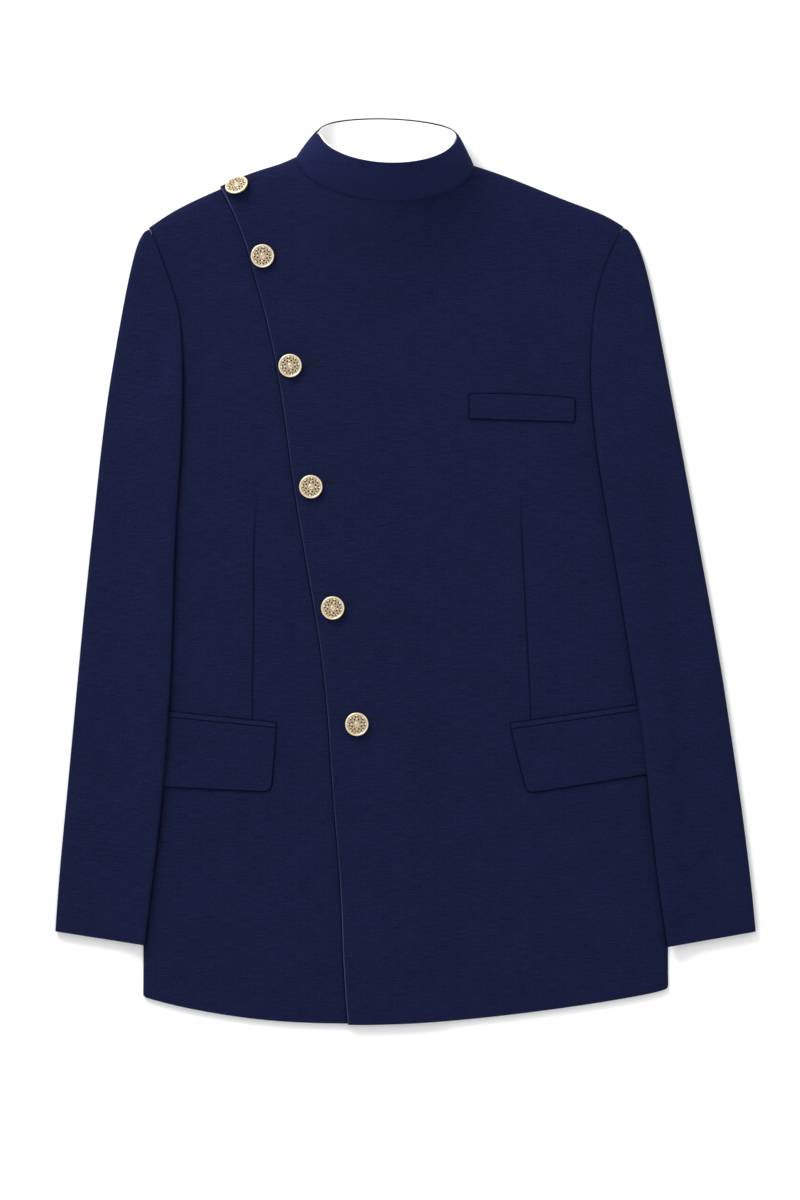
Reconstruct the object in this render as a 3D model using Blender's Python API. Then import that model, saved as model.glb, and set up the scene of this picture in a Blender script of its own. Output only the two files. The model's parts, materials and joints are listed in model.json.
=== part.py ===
# Bandhgala jacket lying flat on its back, buttoned.
# X runs across the jacket, Y up to the collar, Z up from the surface that it lies on.
# Left and right are the wearer's, so the wearer's left is at +X. Sizes are in millimetres.

import math

import bpy
import bmesh
from mathutils import Matrix, Vector
from mathutils.geometry import delaunay_2d_cdt

MM = 0.001

# cloth and the air between layers
CLOTH = 2.0
SLEEVE_CLOTH = 1.8
UNDER_CLOTH = 1.6
TRIM_CLOTH = 1.5
JET_CLOTH = 1.2
BAND_CLOTH = 1.6
LINING_CLOTH = 1.0
SEAM_GAP = 0.35
LAP_RISE = 2.55

# heights of the top layer of the body
FRONT_TOP = 4.3
SHOULDER_RISE = 3.5
SHOULDER_REACH = 55.0
NECK_RISE = 30.0
NECK_CENTRE = (-18.0, 362.0)
NECK_SPREAD = (64.0, 72.0)
SHOULDER_ROLL = 9.0
SIDE_ROLL = 4.0
ROLL_PARTS = (1.0, 0.55, 0.25, 0.07, 0.0)
BACK_INSET = 4.2
HEM_INSET = 3.5
BACK_NECK_DROP = 1.0
NECK_ZONE = 100.0
SHOULDER_ZONE_Y = 215.0
NECK_PITCH = 12.0
SHOULDER_PITCH = 22.0
FLAT_PITCH = 42.0
LAP_FADE_PARTS = (0.0, 0.25, 0.5, 0.75, 1.0)

# sleeves
SLEEVE_THICK = 7.2
SLEEVE_WRAP = 2.0
SLEEVE_STATIONS = (0.0, 0.35, 0.8, 1.3, 1.8, 2.4, 3.0, 3.5, 4.0, 4.4, 4.8, 5.3, 6.0, 6.8,
                   7.6, 8.4, 9.0, 9.3, 10.0, 10.8, 11.2, 12.1, 13.0)
SLEEVE_ACROSS = 18
FIRST_UNDER_STATION = 2
WHOLE_END_STATION = 2.4
SEAM_LEAVES_Y = 262.0
FOLD_WHOLE_Y = 150.0
SUPPORT_STARTS_Y = 232.0
SUPPORT_WHOLE_Y = 204.0
SUPPORT_BEYOND = 3.0
SUPPORT_SPREAD = 12.0
STEP_DOWN = 9.0

# stand collar: base and rim are ellipses seen from above
COLLAR_HIGH = 62.0
NECK_DEGREES = (180.0, 177.0, 172.0, 164.0, 152.0, 138.0, 124.0, 110.0, 96.0, 83.0, 70.0,
                56.0, 42.0, 28.0, 16.0, 8.0, 3.0, 0.0)
BACK_DEGREES = (-24.0, -40.0, -56.0, -73.0, -90.0, -107.0, -124.0, -140.0, -156.0)
BASE_MID = (-18.9, 377.3)
BASE_HALF = 81.9
BASE_TILT = -0.049
BASE_DIP = 37.3
BASE_BACK_DIP = 6.5
RIM_MID = (-16.0, 403.5)
RIM_HALF = 65.5
RIM_TILT = -0.031
RIM_DIP = 29.3
RIM_BACK_RISE = 13.6
RIM_LINING_SET = 1.3
COLLAR_END_ROUND = 6.0
COLLAR_SLIT = 0.02
COLLAR_BARREL = 1.2
BASE_LINING_SET = 0.6
CORNER_LIFT = 0.6
CORNER_REACH = 0.2
LINING_GAP = 0.5
CORNER_GAP = 1.6
BACK_CORNER_REACH = 0.4
BACK_SEAM_GAP = 0.6

# the under front reaches this far beyond the opening edge
LAP_WIDTH = 70.0
LAP_FADE = 25.0

# pockets
FLAP_RISE = 2.0
FLAP_HOLD = 12.0
FLAP_CLEAR = 20.0
JET_HEIGHT = 5.0

# buttons
BUTTON_RADIUS = 10.8
BUTTON_THICK = 2.6
BUTTON_DISH = 0.7
BUTTON_RIM = 1.5
SHANK_RADIUS = 2.6
SHANK_HIGH = 2.2
BUTTON_SIDES = 24
SHOULDER_BUTTON_TILT = math.radians(46)
SHOULDER_BUTTON_TURN = math.radians(22)
SHOULDER_BUTTON_CLEAR = 0.6

# outlines, as rows of (x, y)
OPENING_EDGE = ((-52.9, -417.0), (-57.0, -361.0), (-59.8, -288.4), (-66.2, -210.2),
                (-71.8, -127.4), (-78.7, -65.8), (-89.0, -4.1), (-103.5, 84.2),
                (-113.6, 160.5), (-126.0, 224.9), (-139.3, 273.7), (-146.9, 302.2),
                (-157.8, 329.8), (-170.7, 354.3))
UNDERLAP_EDGE = ((16.0, -413.8), (13.0, -361.0), (3.8, -210.2), (-8.7, -65.8), (-33.5, 84.2),
                 (-56.0, 224.9), (-76.0, 302.2), (-92.0, 340.0), (-104.4, 375.6))
OVER_SHOULDER = ((-170.7, 354.3), (-148.6, 364.1), (-133.9, 369.5), (-115.5, 374.6),
                 (-106.3, 378.4), (-100.8, 381.4))
UNDER_SHOULDER = ((-236.0, 316.2), (-230.5, 320.2), (-213.9, 331.2), (-192.7, 341.9),
                  (-172.0, 351.1), (-149.4, 360.7), (-134.8, 366.2), (-116.6, 371.2),
                  (-108.4, 374.0), (-104.4, 375.6))
LEFT_SHOULDER = ((63.0, 373.3), (89.7, 364.5), (118.2, 353.2), (145.8, 342.1), (175.3, 331.1),
                 (187.5, 325.8), (196.4, 320.6), (200.3, 317.4))
OVER_HEM = ((-52.9, -417.0), (-27.1, -417.1), (28.1, -414.5), (101.7, -407.1), (175.3, -397.0),
            (229.5, -387.5), (238.9, -385.1), (241.7, -381.0))
UNDER_HEM = ((-241.3, -389.6), (-237.2, -393.1), (-230.2, -395.2), (-189.1, -404.1),
             (-126.5, -413.1), (-53.8, -416.0), (16.0, -413.8))
RIGHT_SIDE = ((-241.3, -389.6), (-241.0, -345.0), (-241.4, -300.0), (-240.8, -250.0),
              (-238.0, -165.0), (-233.0, -45.0), (-236.0, 40.0), (-242.0, 100.0),
              (-246.0, 130.0))
RIGHT_ARMHOLE = ((-246.0, 130.0), (-232.0, 137.0), (-217.0, 154.0), (-207.5, 180.0),
                 (-204.5, 205.0), (-204.9, 221.0), (-207.6, 237.5), (-211.9, 254.5),
                 (-217.4, 269.5), (-223.8, 288.9), (-229.1, 301.7), (-236.0, 316.2))
LEFT_SIDE = ((241.7, -381.0), (241.3, -345.0), (241.5, -300.0), (240.3, -250.0),
             (237.0, -165.0), (224.0, -45.0), (219.0, 40.0), (221.0, 100.0), (224.0, 129.0))
LEFT_ARMHOLE = ((224.0, 129.0), (208.0, 134.0), (191.0, 147.0), (177.0, 169.0),
                (170.9, 200.0), (171.1, 221.5), (173.0, 241.8), (177.2, 261.6),
                (182.1, 278.8), (188.3, 293.6), (193.3, 303.8), (200.3, 317.4))

CENTRE_BACK = ((-18.9, 369.9), (-17.0, 200.0), (-12.0, 40.0), (-6.0, -150.0), (0.0, -411.5))

# a sleeve has one row for each section: the inner fold's x and y, then the outer fold's x and y
RIGHT_SLEEVE = ((-235.3, 315.0, -240.2, 312.6), (-229.5, 301.9, -247.0, 300.6),
                (-217.8, 269.7, -254.6, 270.0), (-208.1, 237.5, -260.9, 237.5),
                (-204.9, 205.0, -266.8, 204.5), (-204.8, 157.8, -274.6, 157.0),
                (-207.0, 98.0, -281.9, 98.0), (-211.5, 40.0, -287.7, 40.0),
                (-213.4, -26.2, -294.8, -24.0), (-215.3, -90.0, -300.7, -87.0),
                (-219.6, -158.0, -306.8, -153.0), (-225.2, -224.0, -312.8, -217.0),
                (-232.5, -285.0, -318.6, -276.0), (-239.6, -344.0, -322.4, -331.0))
LEFT_SLEEVE = ((199.7, 316.2, 204.9, 314.2), (193.7, 303.2, 213.1, 302.5),
               (182.6, 279.2, 221.3, 278.9), (174.8, 248.0, 228.3, 248.0),
               (171.2, 212.0, 235.4, 212.0), (170.8, 162.4, 244.6, 163.0),
               (177.5, 98.5, 256.4, 100.0), (187.4, 40.0, 267.3, 40.0),
               (198.0, -23.0, 278.9, -22.5), (208.2, -90.5, 290.3, -88.0),
               (219.6, -157.5, 300.6, -155.0), (225.0, -224.0, 309.8, -220.0),
               (232.0, -285.0, 317.6, -280.0), (240.8, -345.6, 322.4, -331.2))

# pockets as corners: seen from above, from the top edge's first end round by the bottom
CHEST_WELT = ((58.9, 163.6), (155.8, 159.4), (155.4, 137.8), (58.4, 140.8))
CHEST_WELT_BOW = 1.6
RIGHT_FLAP = ((-230.5, -127.4), (-118.9, -138.9), (-123.4, -202.6), (-231.5, -197.4))
LEFT_FLAP = ((95.9, -139.6), (226.0, -120.9), (229.0, -185.2), (111.5, -204.2))
FLAP_CORNER = 6.0

# buttons on the front, in the order of their numbers from the shoulder down
SHOULDER_BUTTON = (-155.7, 356.4)
FRONT_BUTTONS = ((-131.6, 290.3), (-106.2, 189.4), (-87.1, 78.0), (-67.0, -33.5), (-44.8, -140.5))

NAVY = (0.0103, 0.0137, 0.0452)
LINING_WHITE = (0.86, 0.86, 0.85)
GOLD = (0.76, 0.58, 0.31)


def remove_everything():
    for item in list(bpy.data.objects):
        bpy.data.objects.remove(item, do_unlink=True)


def make_material(name, colour, roughness, metallic):
    material = bpy.data.materials.new(name)
    material.use_nodes = True
    shader = material.node_tree.nodes["Principled BSDF"]
    shader.inputs["Base Color"].default_value = (*colour, 1.0)
    shader.inputs["Roughness"].default_value = roughness
    shader.inputs["Metallic"].default_value = metallic
    material.diffuse_color = (*colour, 1.0)
    return material


def ease(value):
    value = min(max(value, 0.0), 1.0)
    return value * value * (3.0 - 2.0 * value)


def smooth_point(rows, index, part):
    """The point a part of the way from row index to the next, on a smooth curve through the rows."""
    last = len(rows) - 1
    before = rows[max(index - 1, 0)]
    start = rows[index]
    end = rows[min(index + 1, last)]
    after = rows[min(index + 2, last)]
    return tuple(
        0.5 * (2 * b + (c - a) * part + (2 * a - 5 * b + 4 * c - d) * part ** 2
               + (3 * b - a - 3 * c + d) * part ** 3)
        for a, b, c, d in zip(before, start, end, after))


def smooth_line(rows, steps=8):
    points = []
    for index in range(len(rows) - 1):
        for step in range(steps):
            points.append(Vector(smooth_point(rows, index, step / steps)))
    points.append(Vector(rows[-1]))
    return points


def along(line, fraction):
    """The point at a fraction of a line's length."""
    lengths = [(b - a).length for a, b in zip(line, line[1:])]
    left = fraction * sum(lengths)
    for (a, b), length in zip(zip(line, line[1:]), lengths):
        if left <= length:
            return a.lerp(b, left / length if length else 0.0)
        left -= length
    return line[-1].copy()


def at_height(line, y):
    """The point of a rising line at height y."""
    for a, b in zip(line, line[1:]):
        if y <= b.y and b.y > a.y:
            return a.lerp(b, min(max((y - a.y) / (b.y - a.y), 0.0), 1.0))
    return line[-1].copy()


def distance_to(line, x, y):
    best = 1e9
    for a, b in zip(line, line[1:]):
        run_x, run_y = b.x - a.x, b.y - a.y
        square = run_x * run_x + run_y * run_y
        part = ((x - a.x) * run_x + (y - a.y) * run_y) / square if square else 0.0
        part = min(max(part, 0.0), 1.0)
        best = min(best, math.hypot(x - a.x - part * run_x, y - a.y - part * run_y))
    return best


opening_edge = smooth_line(OPENING_EDGE)
underlap_edge = smooth_line(UNDERLAP_EDGE)
over_shoulder = smooth_line(OVER_SHOULDER)
under_shoulder = smooth_line(UNDER_SHOULDER)
left_shoulder = smooth_line(LEFT_SHOULDER)
over_hem = smooth_line(OVER_HEM)
under_hem = smooth_line(UNDER_HEM)
right_side = smooth_line(RIGHT_SIDE)
left_side = smooth_line(LEFT_SIDE)
right_armhole = smooth_line(RIGHT_ARMHOLE)
left_armhole = smooth_line(LEFT_ARMHOLE)
right_roll = [right_side[0] - Vector((0.0, 40.0))] + right_side
left_roll = [left_side[0] - Vector((0.0, 40.0))] + left_side
shoulder_zone = over_shoulder + [Vector((-100.0, 320.0)), Vector((-150.0, 320.0))]


def base_point(turn):
    """The neck seam seen from above. A turn of 0 is the left neck point, 90 degrees the front."""
    x = BASE_MID[0] + BASE_HALF * math.cos(turn)
    side_y = BASE_MID[1] + BASE_TILT * (x - BASE_MID[0])
    dip = BASE_DIP if math.sin(turn) > 0 else BASE_BACK_DIP
    return Vector((x, side_y - dip * abs(math.sin(turn))))


def rim_point(turn):
    """The collar's top edge, outer side, in three dimensions."""
    x = RIM_MID[0] + RIM_HALF * math.cos(turn)
    side_y = RIM_MID[1] + RIM_TILT * (x - RIM_MID[0])
    shift = -RIM_DIP if math.sin(turn) > 0 else -RIM_BACK_RISE
    high = 0.5 * COLLAR_HIGH * (1.0 + math.sin(turn))
    return Vector((x, side_y + shift * math.sin(turn), high))


def plain_height(x, y):
    """The front's upper face before any overlap and before its edges roll down."""
    ridge_away = min(distance_to(under_shoulder, x, y), distance_to(left_shoulder, x, y))
    ridge = SHOULDER_RISE * math.exp(-(ridge_away / SHOULDER_REACH) ** 2)
    across = (x - NECK_CENTRE[0]) / NECK_SPREAD[0]
    down = (y - NECK_CENTRE[1]) / NECK_SPREAD[1]
    return FRONT_TOP + ridge + NECK_RISE * math.exp(-across ** 2 - down ** 2)


def roll(away, radius):
    """How much of its height a rolled edge keeps at a distance from the outline."""
    if away >= radius:
        return 1.0
    return math.sqrt(max(1.0 - (1.0 - away / radius) ** 2, 0.0))


def over_height(x, y):
    """Upper face of the over front, which steps down past the underlap."""
    past_edge = x - at_height(opening_edge, y).x
    lap = LAP_RISE * (1.0 - ease((past_edge - LAP_WIDTH - 4.0) / LAP_FADE))
    high = plain_height(x, y) + lap
    high *= roll(distance_to(over_shoulder, x, y), SHOULDER_ROLL + LAP_RISE)
    high *= roll(distance_to(left_shoulder, x, y), SHOULDER_ROLL)
    return high * roll(distance_to(left_roll, x, y), SIDE_ROLL)


def under_height(x, y):
    """Upper face of the under front, kept a little lower where the neck rises over it."""
    high = plain_height(x, y)
    high -= 0.06 * (high - FRONT_TOP)
    high *= roll(distance_to(under_shoulder, x, y), SHOULDER_ROLL)
    return high * roll(distance_to(right_roll, x, y), SIDE_ROLL)


def add_object(name, mesh_maker, material):
    """Runs a function that fills a bmesh in millimetres and makes its object in metres."""
    shape = bmesh.new()
    mesh_maker(shape)
    bmesh.ops.scale(shape, vec=(MM, MM, MM), verts=shape.verts)
    bmesh.ops.recalc_face_normals(shape, faces=shape.faces)
    mesh = bpy.data.meshes.new(name)
    shape.to_mesh(mesh)
    shape.free()
    mesh.materials.append(material)
    mesh.shade_smooth()
    mesh.set_sharp_from_angle(angle=math.radians(40))
    thing = bpy.data.objects.new(name, mesh)
    bpy.context.collection.objects.link(thing)
    return thing


def wall(name, outer, inner, material):
    """A closed wall between a grid of outer points and a like grid of inner points."""
    rows, columns = len(outer), len(outer[0])

    def fill(shape):
        faces_of = []
        for grid in (outer, inner):
            faces_of.append([[shape.verts.new(point) for point in row] for row in grid])
        top, low = faces_of
        for i in range(rows - 1):
            for j in range(columns - 1):
                for a, b, c in (((i, j), (i, j + 1), (i + 1, j + 1)),
                                ((i, j), (i + 1, j + 1), (i + 1, j))):
                    shape.faces.new((top[a[0]][a[1]], top[b[0]][b[1]], top[c[0]][c[1]]))
                    shape.faces.new((low[c[0]][c[1]], low[b[0]][b[1]], low[a[0]][a[1]]))
        border = [(0, j) for j in range(columns)]
        border += [(i, columns - 1) for i in range(1, rows)]
        border += [(rows - 1, j) for j in range(columns - 2, -1, -1)]
        border += [(i, 0) for i in range(rows - 2, 0, -1)]
        for (i, j), (m, n) in zip(border, border[1:] + border[:1]):
            shape.faces.new((top[i][j], low[i][j], low[m][n], top[m][n]))

    return add_object(name, fill, material)


def steps(start, end, count):
    return [start + (end - start) * index / count for index in range(count)]


def inset_line(line, inset):
    """A line moved sideways, to the left of its direction."""
    moved = []
    for index, point in enumerate(line):
        before = (point - line[max(index - 1, 0)]).normalized()
        after = (line[min(index + 1, len(line) - 1)] - point).normalized()
        run = (before + after).normalized()
        spread = max(run.dot(after if index == 0 else before), 0.5)
        moved.append(point + Vector((-run.y, run.x)) * (inset / spread))
    return moved


def spaced(line, pitch, start_radius=0.0, end_radius=0.0):
    """Points along a line, with close ones near an end that meets a rolled edge."""
    length = sum((b - a).length for a, b in zip(line, line[1:]))
    first = [start_radius * part for part in reversed(ROLL_PARTS)] if start_radius else [0.0]
    last = [length - end_radius * part for part in ROLL_PARTS] if end_radius else [length]
    count = max(round((last[0] - first[-1]) / pitch), 1)
    places = first + steps(first[-1], last[0], count)[1:] + last
    return [along(line, place / length) for place in places]


def cloth_point(x, y, height, thickness):
    """A point of the upper face and the point under it on the lower face."""
    small = 0.1
    rise_x = (height(x + small, y) - height(x - small, y)) / (2 * small)
    rise_y = (height(x, y + small) - height(x, y - small)) / (2 * small)
    top = Vector((x, y, height(x, y)))
    low = top - Vector((-rise_x, -rise_y, 1.0)).normalized() * thickness
    low.z = max(low.z, FRONT_TOP - CLOTH)
    return top, low


def panel(name, sides, spots, height, thickness, material):
    """
    A wall of cloth over an outline that runs anticlockwise. Each side is its points and the
    radius with which it rolls down to the floor, or zero for a cut edge. Spots lie inside it.
    """
    pairs = []
    for index, (points, radius) in enumerate(sides):
        before, before_radius = sides[index - 1]
        floor_points = inset_line(points, thickness)
        for place, point in enumerate(points[:-1]):
            if radius:
                pairs.append((point.to_3d(), floor_points[place].to_3d()))
            elif place == 0 and before_radius:
                pairs.append((point.to_3d(), inset_line(before, thickness)[-1].to_3d()))
            else:
                pairs.append(cloth_point(point.x, point.y, height, thickness))
    border = len(pairs)
    outline = [pair[0].to_2d() for pair in pairs]
    loop = outline + outline[:1]
    rim = [(index, (index + 1) % border) for index in range(border)]
    within, ties = [], []
    for points, radius in sides:
        if radius:
            for part in ROLL_PARTS[:-1]:
                ring = inset_line(points, radius * part)
                ends = [min(range(border), key=lambda k: (outline[k] - end).length)
                        for end in (ring[0], ring[-1])]
                first = border + len(within)
                last = first + len(ring) - 3
                within += ring[1:-1]
                ties += [(ends[0], first), (last, ends[1])]
                ties += [(index, index + 1) for index in range(first, last)]
    for spot in spots:
        clear = all(distance_to(points, spot.x, spot.y) > radius + 4.0
                    for points, radius in sides if radius)
        if clear and inside(outline, spot.x, spot.y) and distance_to(loop, spot.x, spot.y) > 5.0:
            within.append(spot)
    pairs += [cloth_point(spot.x, spot.y, height, thickness) for spot in within]
    filled = delaunay_2d_cdt(outline + within, rim + ties, [], 1, 1e-7)
    origin = [found[0] for found in filled[3]]

    def fill(shape):
        top = [shape.verts.new(pair[0]) for pair in pairs]
        low = [shape.verts.new(pair[1]) for pair in pairs]
        for face in filled[2]:
            corners = [origin[index] for index in face]
            shape.faces.new([top[index] for index in corners])
            shape.faces.new([low[index] for index in reversed(corners)])
        for a, b in rim:
            shape.faces.new((top[b], top[a], low[a], low[b]))

    return add_object(name, fill, material)


def spread_spots(x_range, y_range):
    """Points over a front, close together where it rises to the neck and the shoulders."""
    spots = []
    for pitch, zone in ((NECK_PITCH, 0), (SHOULDER_PITCH, 1), (FLAT_PITCH, 2)):
        for row in range(int((y_range[1] - y_range[0]) / pitch) + 1):
            for column in range(int((x_range[1] - x_range[0]) / pitch) + 1):
                x = x_range[0] + pitch * (column + 0.5 * (row % 2))
                y = y_range[0] + pitch * row
                neck_away = math.hypot(x - NECK_CENTRE[0], y - NECK_CENTRE[1])
                this_zone = 0 if neck_away < NECK_ZONE else 1 if y > SHOULDER_ZONE_Y else 2
                if this_zone == zone:
                    spots.append(Vector((x, y)))
    return spots


def neck_points():
    return [base_point(math.radians(degrees)) for degrees in NECK_DEGREES]


def make_front_left(cloth):
    lap_roll = SHOULDER_ROLL + LAP_RISE
    sides = [
        (spaced(over_hem, 14.0, 0.0, SIDE_ROLL), 0.0),
        (spaced(left_side, 40.0), SIDE_ROLL),
        (spaced(left_armhole, 16.0, SIDE_ROLL, SHOULDER_ROLL), 0.0),
        (spaced(left_shoulder, 15.0)[::-1], SHOULDER_ROLL),
        (neck_points()[::-1], 0.0),
        (spaced(over_shoulder, 15.0)[::-1], lap_roll),
        (spaced(opening_edge, 24.0, 0.0, lap_roll)[::-1], 0.0),
    ]
    spots = []
    for spot in spread_spots((-170.0, 241.0), (-417.0, 380.0)):
        past_edge = spot.x - at_height(opening_edge, spot.y).x - LAP_WIDTH
        if spot.y > 240.0 or not -3.0 < past_edge < LAP_FADE + 12.0:
            spots.append(spot)
    for row in range(27):
        y = -405.0 + 24.0 * row
        for part in LAP_FADE_PARTS:
            x = at_height(opening_edge, y).x + LAP_WIDTH + 4.0 + LAP_FADE * part
            spots.append(Vector((x, y)))
    return panel("front_left", sides, spots, over_height, CLOTH, cloth)


def make_front_right(cloth):
    sides = [
        (spaced(under_hem, 30.0, SIDE_ROLL, 0.0), 0.0),
        (spaced(underlap_edge, 36.0, 0.0, SHOULDER_ROLL), 0.0),
        (spaced(under_shoulder, 15.0)[::-1], SHOULDER_ROLL),
        (spaced(right_armhole, 16.0, SIDE_ROLL, SHOULDER_ROLL)[::-1], 0.0),
        (spaced(right_side, 40.0)[::-1], SIDE_ROLL),
    ]
    spots = spread_spots((-250.0, 17.0), (-415.0, 375.0))
    return panel("front_right", sides, spots, under_height, CLOTH, cloth)


def thin(line, count):
    return [along(line, index / count) for index in range(count + 1)]


def plate(name, outline, low, high, material):
    """A flat piece of cloth with an outline that runs anticlockwise."""
    def fill(shape):
        face = shape.faces.new([shape.verts.new((p.x, p.y, low)) for p in outline])
        lifted = bmesh.ops.extrude_face_region(shape, geom=[face])
        top = [item for item in lifted["geom"] if isinstance(item, bmesh.types.BMVert)]
        bmesh.ops.translate(shape, vec=(0.0, 0.0, high - low), verts=top)

    return add_object(name, fill, material)


def make_backs(cloth):
    """Two flat panels that meet at the centre back seam, inside the fronts' rolled edges."""
    centre = thin(smooth_line(CENTRE_BACK), 8)
    for name, sign in (("left", 1), ("right", -1)):
        side, armhole, shoulder, hem = (
            (left_side, left_armhole, left_shoulder, over_hem) if sign > 0
            else (right_side, right_armhole, under_shoulder, under_hem))
        edge = thin(side, 14) + thin(armhole, 16)[1:]
        top = thin(shoulder, 10)
        if sign > 0:
            outer = inset_line(edge + list(reversed(top))[1:], BACK_INSET)
        else:
            outer = inset_line(list(reversed(edge + top[1:])), BACK_INSET)
            outer.reverse()
        outer = [p for p in outer if p.y > hem[0].y + HEM_INSET]
        neck = []
        for index in range(1, 8):
            turn = math.pi / 2 * index / 8
            point = base_point(-turn if sign > 0 else turn - math.pi)
            neck.append(point - Vector((0.0, BACK_NECK_DROP)))
        neck_half = abs(neck[0].x - BASE_MID[0])
        outer = [p for p in outer
                 if p.y < NECK_CENTRE[1] - NECK_ZONE or abs(p.x - BASE_MID[0]) > neck_half + 2.0]
        bottom = [p + Vector((0.0, HEM_INSET)) for p in thin(hem, 12) if 4.0 < p.x * sign < 236.0]
        bottom.sort(key=lambda p: p.x * sign)
        middle = [p + Vector((sign * SEAM_GAP / 2, 0.0)) for p in centre]
        outline = bottom + outer + neck + middle
        if sign < 0:
            outline.reverse()
        plate("back_" + name, outline, 0.0, CLOTH, cloth)


def inside(outline, x, y):
    odd = False
    for a, b in zip(outline, outline[1:] + outline[:1]):
        if (a.y > y) != (b.y > y) and x < a.x + (b.x - a.x) * (y - a.y) / (b.y - a.y):
            odd = not odd
    return odd


class Side:
    """What a sleeve of one side lies on: its body edge, its flap, and the heights over them."""

    def __init__(self, side, armhole, flap, sign):
        self.edge = side + armhole[1:]
        self.outline = self.edge + [Vector((0.0, 400.0)), Vector((0.0, -400.0))]
        self.flap_low = min(corner[1] for corner in flap)
        self.flap_high = max(corner[1] for corner in flap)
        self.sign = sign

    def flap_rise(self, y):
        away = max(self.flap_low - y, y - self.flap_high, 0.0)
        return FLAP_RISE * (1.0 - ease((away - FLAP_HOLD) / FLAP_CLEAR))

    def top(self, x, y):
        high = plain_height(x, y) * roll(distance_to(under_shoulder, x, y), SHOULDER_ROLL)
        high *= roll(distance_to(left_shoulder, x, y), SHOULDER_ROLL)
        return high + self.flap_rise(y)

    def beyond(self, spot):
        """Distance outside the body's edge of the nearest of three spots, negative over the body."""
        least = 99.0
        for shift in (-SUPPORT_SPREAD, 0.0, SUPPORT_SPREAD):
            away = distance_to(self.edge, spot.x, spot.y + shift)
            over_body = inside(self.outline, spot.x, spot.y + shift)
            least = min(least, -away if over_body else away)
        return least


def resample(pairs, count, pitch=11.0, bend=math.radians(30)):
    """Pairs of points spread so that the bends of the first line get as many as its length."""
    costs = [0.0]
    for index in range(1, len(pairs)):
        step = pairs[index][0] - pairs[index - 1][0]
        cost = step.length / pitch
        if index < len(pairs) - 1:
            after = pairs[index + 1][0] - pairs[index][0]
            if step.length > 1e-6 and after.length > 1e-6:
                cost += step.angle(after) / bend
        costs.append(costs[-1] + cost)
    result = []
    for index in range(count):
        wanted = costs[-1] * index / (count - 1)
        spot = next(k for k in range(1, len(costs)) if costs[k] >= wanted - 1e-9)
        share = (wanted - costs[spot - 1]) / max(costs[spot] - costs[spot - 1], 1e-9)
        share = min(max(share, 0.0), 1.0)
        result.append([a.lerp(b, share) for a, b in zip(pairs[spot - 1], pairs[spot])])
    return result


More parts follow.
